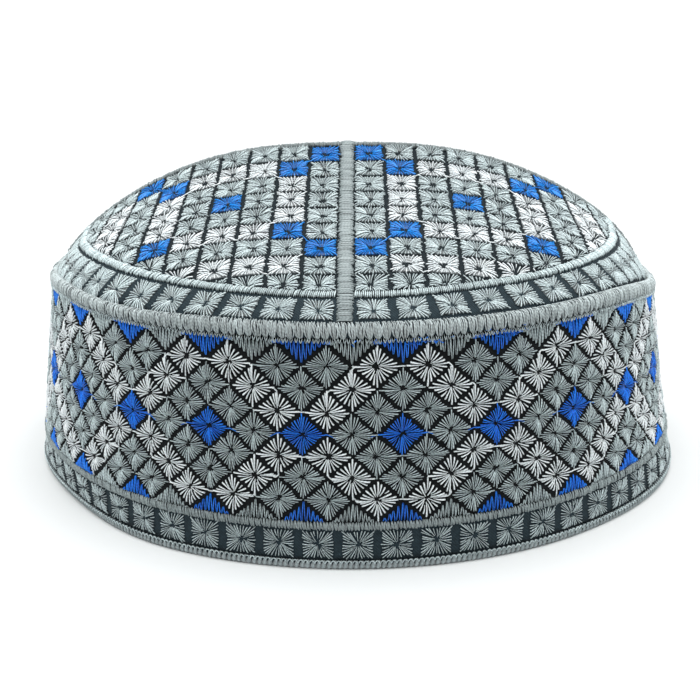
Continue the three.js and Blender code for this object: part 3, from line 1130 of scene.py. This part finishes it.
def rim_square_centres():
    """The squares along the rim: their centres, how many millimetres longer than the
    front ones they reach, and how far each lies to the side."""
    centres, longer, side_share = [], [], []
    strip_angle = STRIP_OFFSET / RIM_SQUARE_RADIUS
    steps = np.arange(RIM_SQUARES)
    even = 4.5 + 6.52 * steps - 0.02 * steps ** 2
    for side, spread_out in ((-1, 1.4), (1, 1.2)):
        quarter = pi / 2 - side * strip_angle
        from_strip = np.radians(even + spread_out * share_at(even, 50, 42))
        for degrees, angle in zip(even, strip_angle + side * from_strip * quarter / (pi / 2)):
            at_end = share_at(degrees, 85, 30)
            outer = 0.2 if side < 0 else 1.4 * at_end - 0.5 * share_at(degrees, 38, 26)
            for turned in (angle, pi - angle):
                centres.append((turned * RIM_SQUARE_RADIUS, RIM_SQUARE_RADIUS + outer * MM))
                longer.append(0.35 * eased(degrees, 10, 35) if side < 0 else 0.8 * at_end)
                side_share.append(eased(degrees, 20, 50))
    return np.array(centres), np.array(longer), np.array(side_share)


# Satin lines

def satin_rows(face, centres, direction, length, width, relief, rng, slant=0.0,
               lift_spread=0.2, flank=1.0):
    """Stitches across a line, each centred on it, with a little wander at both ends."""
    direction = np.array(direction, float)
    reach = length / 2 * (1 + rng.normal(0, 0.11, (len(centres), 2)))
    lean = crosswise(direction) * slant / 2
    start = centres - direction * reach[:, :1] - lean
    end = centres + direction * reach[:, 1:] + lean
    return lay(face, start, end, width, relief, rng, SATIN_STATIONS, SATIN_WIDTHS, SATIN_LIFTS,
               bow=0.05 * MM, lift_spread=lift_spread, flank=flank)


class KUFI_OT_stitch_satin_lines(bpy.types.Operator):
    """Stitch the satin line of the band and the satin strips and ring of the crown"""
    bl_idname = "kufi.stitch_satin_lines"
    bl_label = "Satin lines"

    def execute(self, context):
        pitch = context.scene.kufi_threads.satin_pitch
        self.band_line(pitch)
        self.crown_strips()
        self.crown_ring()
        return {"FINISHED"}

    def band_line(self, pitch):
        """The line round the band; every second stitch slants more."""
        rng = np.random.default_rng(500)
        count = round(BAND_ROUND / pitch / 2) * 2
        centres = pairs(round_the_band(count, 0.04 * MM, rng), BAND_LINE_HEIGHT)
        slant = np.where(np.arange(count) % 2 == 0, 0.15, 0.5)[:, None] * MM
        batch = satin_rows(band_face, centres, (0, 1), 2.3 * MM, 0.4 * MM, 0.7 * MM, rng,
                           slant=slant, flank=0.7)
        add_threads("band_satin_line", [batch], "satin", ["band_line"])

    def crown_strips(self):
        """The strip from front to back, and the strips to either side along the crease."""
        rng = np.random.default_rng(510)
        pitch = 0.4 * MM
        ahead = np.arange(-STRIP_REACH, STRIP_REACH, pitch)
        strips = [("long", (1, 0), pairs(STRIP_OFFSET, ahead))]
        for side, word in ((-1, "left"), (1, "right")):
            first = STRIP_OFFSET + side * (STRIP_WIDTH / 2 + 0.2 * MM)
            across = np.arange(first, side * SIDE_STRIP_REACH, side * pitch)
            strips.append((word, (0, 1), pairs(across, 0.0)))
        for word, direction, centres in strips:
            batch = satin_rows(crown_point, centres, direction, STRIP_WIDTH + 0.5 * MM,
                               0.44 * MM, 0.75 * MM, rng, lift_spread=0.1)
            node = f"crown_strip_{word}"
            add_threads(f"{node}_satin", [batch], "satin", [node])

    def crown_ring(self):
        """The ring inside the rim squares, which stops where the strips cross it."""
        rng = np.random.default_rng(520)
        radius = RING_LINE_DEPTH
        count = round(2 * pi * radius / (0.5 * MM))
        angle = np.arange(count) * 2 * pi / count
        x, y = radius * np.sin(angle) * CROWN_SQUASH, -radius * np.cos(angle)
        clear = STRIP_WIDTH / 2 + 0.25 * MM
        from_strip = np.abs(x - STRIP_OFFSET * (np.abs(y) > radius / 2))
        angle = angle[(from_strip > clear) & (np.abs(y) > clear)]
        centres = pairs(angle * RIM_SQUARE_RADIUS, radius)
        batch = satin_rows(rim_face, centres, (0, 1), 2.3 * MM, 0.5 * MM, 0.8 * MM, rng,
                           slant=0.3 * MM, lift_spread=0.1, flank=0.75)
        nodes = [f"crown_line_{end}_{side}" for end in ("front", "back")
                 for side in ("left", "right")]
        add_threads("crown_satin_ring", [batch], "grey", nodes)


# Cord over the rim seam

CORD_BOTTOM = 60.3 * MM
CORD_TOP = 63.9 * MM
CORD_HALF_HEIGHT = (CORD_TOP - CORD_BOTTOM) / 2
CORD_OUTWARD = -0.25 * MM
CORD_HALF_DEPTH = 1.05 * MM


def cord_face(along, turn):
    """Places and outward directions round the cord: turn is 0 outside and a quarter turn up.
    The cord is flatter round its left side."""
    out, up = np.cos(turn), np.sin(turn)
    bend_out, bend_up = (np.sign(way) * np.abs(way) ** 0.8 for way in (out, up))
    flatter = 1 - 0.28 * eased(-along / MM, 25, 70) * eased(along / MM, -275, -230)
    place, outward = band_face(along, CORD_BOTTOM + CORD_HALF_HEIGHT * (1 + bend_up) * flatter)
    level = levelled(outward)
    place = place + level * (CORD_OUTWARD + CORD_HALF_DEPTH * bend_out)[..., None]
    direction = level * out[..., None]
    direction[..., 2] += up
    return place, unit(direction)


def cord_core_mesh():
    """The cord's filling, which shows dark between the threads wrapped round it."""
    corners = 14

    def point(along, k):
        place, outward = cord_face(along, np.full(len(along), k * 2 * pi / corners))
        return place - outward * 0.2 * CORD_HALF_DEPTH

    return ring_shell("rim_cord_core", corners, point)


class KUFI_OT_sew_rim_cord(bpy.types.Operator):
    """Sew the thick overlocked cord over the seam between crown and band"""
    bl_idname = "kufi.sew_rim_cord"
    bl_label = "Rim cord"

    def execute(self, context):
        rng = np.random.default_rng(600)
        batches = [self.wraps(rng), self.top_loops(rng)]
        add_threads("rim_cord_stitches", batches, "overlock", ["rim_cord"])
        add_threads("rim_cord_hooks", [self.bottom_loops(rng)], "grey")
        add_piece("rim_cord_core", cord_core_mesh(), [material_of("cloth")])
        self.stray_blue(rng)
        return {"FINISHED"}

    def wraps(self, rng):
        """Groups of threads wrapped from behind the cord over it and down to the band, spread
        widest on its face; near the top and bottom some cross their neighbours."""
        groups, members = round(BAND_ROUND / (2.1 * MM)), 7
        group = round_the_band(groups, 0.1 * MM, rng)
        member = np.linspace(-1, 1, members)
        turns = np.radians([165, 120, 82, 55, 28, 2, -24, -50, -85])
        spread = np.array([0.9, 0.85, 0.85, 0.92, 1, 0.96, 0.74, 0.46, 0.25])
        lean = np.array([-0.5, -0.3, -0.12, 0, 0.08, 0.14, 0.22, 0.3, 0.35])
        crossing = np.array([1, 1, 0.9, 0.5, 0, -0.4, -0.5, -0.3, 0])
        along = group[:, None, None] + (member[:, None] * spread + lean) * MM
        along = along + rng.normal(0, 0.08 * MM, (groups, members, 1))
        along = along + rng.normal(0, 0.22 * MM, (groups, members, 1)) * crossing
        along = along.reshape(-1, len(turns))
        place, outward = cord_face(along, np.broadcast_to(turns, along.shape))
        proud = np.tile(0.22 * (1 - np.abs(member)) + 0.1, groups)[:, None] * MM
        rise = proud * np.ones(len(turns)) + rng.normal(0, 0.1 * MM, (len(place), 1))
        rise[:, (0, -1)] = -0.2 * MM
        widths = np.array([0.28, 0.3, 0.34, 0.38, 0.38, 0.34, 0.3]) * MM
        return strands(place + outward * rise[..., None], outward, widths / 2, 0.3 * MM, rng)

    def top_loops(self, rng):
        """Short bright loops that lock the wraps along the cord's top."""
        count = round(BAND_ROUND / (0.8 * MM))
        along = round_the_band(count, 0.12 * MM, rng)
        start = pairs(along, radians(118))
        end = pairs(along + rng.uniform(0.1, 0.5, count) * MM,
                    np.radians(rng.uniform(58, 76, count)))
        path = between(start, end, np.linspace(0, 1, 5))
        place, outward = cord_face(path[..., 0], path[..., 1])
        rise = np.array([0, 0.36, 0.42, 0.34, 0]) * MM
        return strands(place + outward * rise[:, None], outward, 0.16 * MM, 0.26 * MM, rng)

    def bottom_loops(self, rng):
        """Thin hooked loops where the wraps catch the band below the cord."""
        count = round(BAND_ROUND / (1.05 * MM))
        along = round_the_band(count, 0.1 * MM, rng)
        offsets = np.array([-0.3, -0.24, -0.08, 0.04, 0.28, 0.36]) * MM
        heights = np.array([60.7, 60.1, 59.45, 59.4, 60.0, 60.6]) * MM
        path = pairs(along[:, None] + offsets, heights)
        path[:, 1:-1, 1] += rng.normal(0, 0.07 * MM, (count, 1))
        return bend(band_face, path, 0.24 * MM, 1 * MM, rng, thickness=0.24 * MM)

    def stray_blue(self, rng):
        """Loose blue ends caught under the cord on the front, right of the middle."""
        count = 46
        along = rng.triangular(-8, 38, 47, count) * MM
        height = (59.6 + rng.normal(0, 0.45, count)) * MM
        angle = rng.uniform(-0.9, 0.9, count)
        length = rng.uniform(0.7, 1.5, count)[:, None] * MM
        start = pairs(along, height)
        end = start + pairs(np.cos(angle), np.sin(angle)) * length
        batch = lay(band_face, start, end, 0.28 * MM, 0.8 * MM, rng, bow=0.2 * MM,
                    thickness=0.24 * MM)
        add_threads("loose_blue_ends", [batch], "blue")


# Overlocked hem

# How far outside the band's face and how high each point of the hem's outline lies
HEM_PROFILE = np.array([
    (-0.25, 2.3), (0.2, 2.25), (0.46, 2.0), (0.62, 1.45), (0.58, 0.75), (0.25, 0.3), (-0.8, 0.22),
    (-1.9, 0.25), (-2.75, 0.5), (-2.98, 1.3), (-2.9, 2.4), (-2.5, 3.0),
]) * MM
HEM_MIDDLE = np.array([-1.2, 1.7]) * MM


class KUFI_OT_overlock_hem(bpy.types.Operator):
    """Overlock the lower edge: ribs of thread wrapped under it, locked by a row of arches"""
    bl_idname = "kufi.overlock_hem"
    bl_label = "Hem"

    def execute(self, context):
        rng = np.random.default_rng(700)
        pitch = 1.37 * MM
        rib = round_the_band(round(BAND_ROUND / pitch), 0.05 * MM, rng)
        outward_by, heights = HEM_PROFILE.T
        # The ribs slant a little round the band as they rise.
        along = rib[:, None] + np.interp(heights, [0.3 * MM, 2.3 * MM], [0.2 * MM, 0.5 * MM])
        place = beside_band(along, outward_by, heights)
        widths = np.array([0.66, 0.84, 1.2, 1.44, 1.46, 1.44, 1.44, 1.42, 1.4, 1.2]) * MM
        wraps = strands(place, self.profile_outward(along), widths / 2, 0.3 * MM, rng, flank=0.4)
        add_threads("hem_wraps", [wraps], "hem", ["hem_binding"])
        add_threads("hem_arches", [self.arches(rib, pitch, rng)], "grey")
        core = (HEM_MIDDLE + (HEM_PROFILE - HEM_MIDDLE) * [0.86, 0.8])[::-1]
        add_piece("hem_core", profile_ring("hem_core", core), [material_of("cloth")])
        return {"FINISHED"}

    def profile_outward(self, along):
        """Directions square to the hem's profile at each station."""
        square = unit(crosswise(np.gradient(HEM_PROFILE, axis=0)))
        inward = (square * (HEM_PROFILE - HEM_MIDDLE)).sum(-1) < 0
        square = square * np.where(inward, -1, 1)[:, None]
        _, outward = band_face(along, np.full(along.shape, 1.6 * MM))
        direction = levelled(outward) * square[:, :1]
        direction[..., 2] += square[:, 1]
        return direction

    def arches(self, rib, pitch, rng):
        """The thin looped thread whose arches stand in a row along the ribs' upper ends."""
        turn = np.linspace(0, pi, 8)
        along = rib[:, None] - np.cos(turn) * pitch * 0.52
        along = along + rng.normal(0, 0.02 * MM, (len(rib), 1))
        path = pairs(along, (1.35 + 1.3 * np.sin(turn)) * MM)
        return bend(band_face, path, 0.36 * MM, 1 * MM, rng, thickness=0.3 * MM)


# Studio

class KUFI_OT_set_stage(bpy.types.Operator):
    """Set the pale floor, the soft lights and the camera"""
    bl_idname = "kufi.set_stage"
    bl_label = "Studio"

    def execute(self, context):
        studio = context.scene.kufi_studio
        self.floor()
        self.lights(context.scene, studio)
        self.camera(context.scene, studio.lens)
        return {"FINISHED"}

    def floor(self):
        """A round floor that curves up far from the cap, so that no horizon shows."""
        rings = ((0.3, 0), (0.8, 0), (1.6, 0), (2.4, 0), (2.8, 0.05), (3.1, 0.2), (3.3, 0.5),
                 (3.4, 1.2))
        spokes = 96
        k, k_next = ring_steps(spokes)
        angles = k * 2 * pi / spokes
        rows = [np.stack([radius * np.cos(angles), radius * np.sin(angles), 0 * k + height], -1)
                for radius, height in rings]
        coords = np.concatenate([*rows, np.zeros((1, 3))])
        middle = np.stack([0 * k + len(coords) - 1, k, k_next], -1)
        mesh = mesh_from_arrays("floor", coords, ring_quads(len(rings), spokes), middle)
        mesh.materials.append(material_of("floor"))
        floor = bpy.data.objects.new("floor", mesh)
        bpy.context.scene.collection.objects.link(floor)

    def lights(self, scene, studio):
        """A broad softbox overhead, a weak one to either side and a pale room."""
        for name, energy, angle, towards in (
                ("overhead_softbox", studio.overhead, 70, (0.0, 0.1, -1)),
                ("left_softbox", studio.sides, 60, (1.0, 0.0, -0.7)),
                ("right_softbox", studio.sides, 60, (-1.0, 0.0, -0.7))):
            light = bpy.data.lights.new(name, "SUN")
            light.energy = energy
            light.angle = radians(angle)
            lamp = bpy.data.objects.new(name, light)
            lamp.rotation_euler = Vector(towards).to_track_quat("-Z", "Y").to_euler()
            scene.collection.objects.link(lamp)
        scene.world = bpy.data.worlds.new("Studio")
        scene.world.use_nodes = True
        background = scene.world.node_tree.nodes["Background"]
        background.inputs["Color"].default_value = linear_colour("#f4f7f8")
        background.inputs["Strength"].default_value = studio.surround
        scene.view_settings.view_transform = "Standard"

    def camera(self, scene, lens):
        """The camera at the photograph's place, a little tilted to one side as it was."""
        place = Vector((2.093, -351.184, 139.492)) * MM
        target = Vector((-1.167, 0, 28.615)) * MM
        tilt = Matrix.Rotation(-0.008, 3, "Z")
        data = bpy.data.cameras.new("camera")
        data.sensor_width = 36
        data.lens = lens
        data.clip_start = 0.01
        camera = bpy.data.objects.new("camera", data)
        turn = (target - place).to_track_quat("-Z", "Y").to_matrix() @ tilt
        camera.matrix_world = Matrix.Translation(place) @ turn.to_4x4()
        scene.collection.objects.link(camera)
        scene.camera = camera


# Settings and panel

def colour_property(name, description, hex_colour):
    return bpy.props.FloatVectorProperty(name=name, description=description, subtype="COLOR",
                                         size=3, min=0, max=1,
                                         default=linear_colour(hex_colour)[:3])


def length_property(name, description, millimetres):
    return bpy.props.FloatProperty(name=name, description=description, unit="LENGTH", min=0,
                                   default=millimetres * MM, precision=5)


class KufiThreads(bpy.types.PropertyGroup):
    """Sizes of the embroidery threads"""
    fine_width: length_property("Fine thread", "Width of the grey and blue rays", 0.34)
    bold_width: length_property("Bold thread", "Width of the white rays", 0.5)
    star_relief: length_property("Star relief", "How far the band's stars stand proud", 0.55)
    square_relief: length_property("Square relief", "How far the squares stand proud", 0.58)
    satin_pitch: length_property("Satin pitch", "Distance between satin stitches", 0.4)


class KufiColours(bpy.types.PropertyGroup):
    """Colours of the threads, the cloths and the floor"""
    grey: colour_property("Grey thread", "Thread of most stars and squares", "#b4c3c6")
    white: colour_property("White thread", "Thread of the white stars", "#eff8fb")
    blue: colour_property("Blue thread", "Thread of the band's blue stars", "#1373f6")
    crown_blue: colour_property("Crown blue", "Thread of the crown's blue squares", "#0c7adc")
    satin: colour_property("Satin thread", "Thread of the strips and lines", "#8d9899")
    overlock: colour_property("Overlock thread", "Thread of the rim cord and its loops", "#a5afb0")
    hem: colour_property("Hem thread", "Thread wrapped round the hem", "#8f999b")
    cloth: colour_property("Cloth", "Twill of the crown and band", "#212e34")
    lining: colour_property("Lining", "Cloth inside the cap", "#262c2f")
    floor: colour_property("Floor", "Colour of the painted floor", "#dddfdf")


class KufiStudio(bpy.types.PropertyGroup):
    """Lights and lens"""
    overhead: bpy.props.FloatProperty(name="Overhead light", min=0, default=4.3,
                                      description="Strength of the soft light from above")
    sides: bpy.props.FloatProperty(name="Side lights", min=0, default=0.15,
                                   description="Strength of the soft lights at both sides")
    surround: bpy.props.FloatProperty(name="Surround", min=0, default=0.18,
                                      description="Strength of the light from all round")
    lens: bpy.props.FloatProperty(name="Lens", min=10, default=58.876, unit="CAMERA",
                                  description="Focal length in millimetres")


STEPS = (
    KUFI_OT_lay_cloth,
    KUFI_OT_stitch_band_stars,
    KUFI_OT_stitch_band_triangles,
    KUFI_OT_stitch_border_squares,
    KUFI_OT_stitch_crown_squares,
    KUFI_OT_stitch_satin_lines,
    KUFI_OT_sew_rim_cord,
    KUFI_OT_overlock_hem,
    KUFI_OT_set_stage,
)


class KUFI_PT_panel(bpy.types.Panel):
    """Sizes, colours and steps of the kufi"""
    bl_idname = "KUFI_PT_panel"
    bl_label = "Embroidered kufi"
    bl_space_type = "VIEW_3D"
    bl_region_type = "UI"
    bl_category = "Kufi"

    def draw(self, context):
        scene = context.scene
        for group in (scene.kufi_threads, scene.kufi_colours, scene.kufi_studio):
            box = self.layout.box()
            for name in group.__annotations__:
                box.prop(group, name)
        for step in STEPS:
            self.layout.operator(step.bl_idname)


GROUPS = {
    "kufi_threads": KufiThreads,
    "kufi_colours": KufiColours,
    "kufi_studio": KufiStudio,
}


def register():
    for group_class in (*GROUPS.values(), *STEPS, KUFI_PT_panel):
        bpy.utils.register_class(group_class)
    for name, group_class in GROUPS.items():
        setattr(bpy.types.Scene, name, bpy.props.PointerProperty(type=group_class))


def unregister():
    for name in GROUPS:
        delattr(bpy.types.Scene, name)
    for group_class in (KUFI_PT_panel, *reversed(STEPS), *reversed(GROUPS.values())):
        bpy.utils.unregister_class(group_class)


def main():
    register()
    bpy.ops.kufi.lay_cloth()
    bpy.ops.kufi.stitch_band_stars()
    bpy.ops.kufi.stitch_band_triangles()
    bpy.ops.kufi.stitch_border_squares()
    bpy.ops.kufi.stitch_crown_squares()
    bpy.ops.kufi.stitch_satin_lines()
    bpy.ops.kufi.sew_rim_cord()
    bpy.ops.kufi.overlock_hem()
    bpy.ops.kufi.set_stage()


if __name__ == "__main__":
    main()
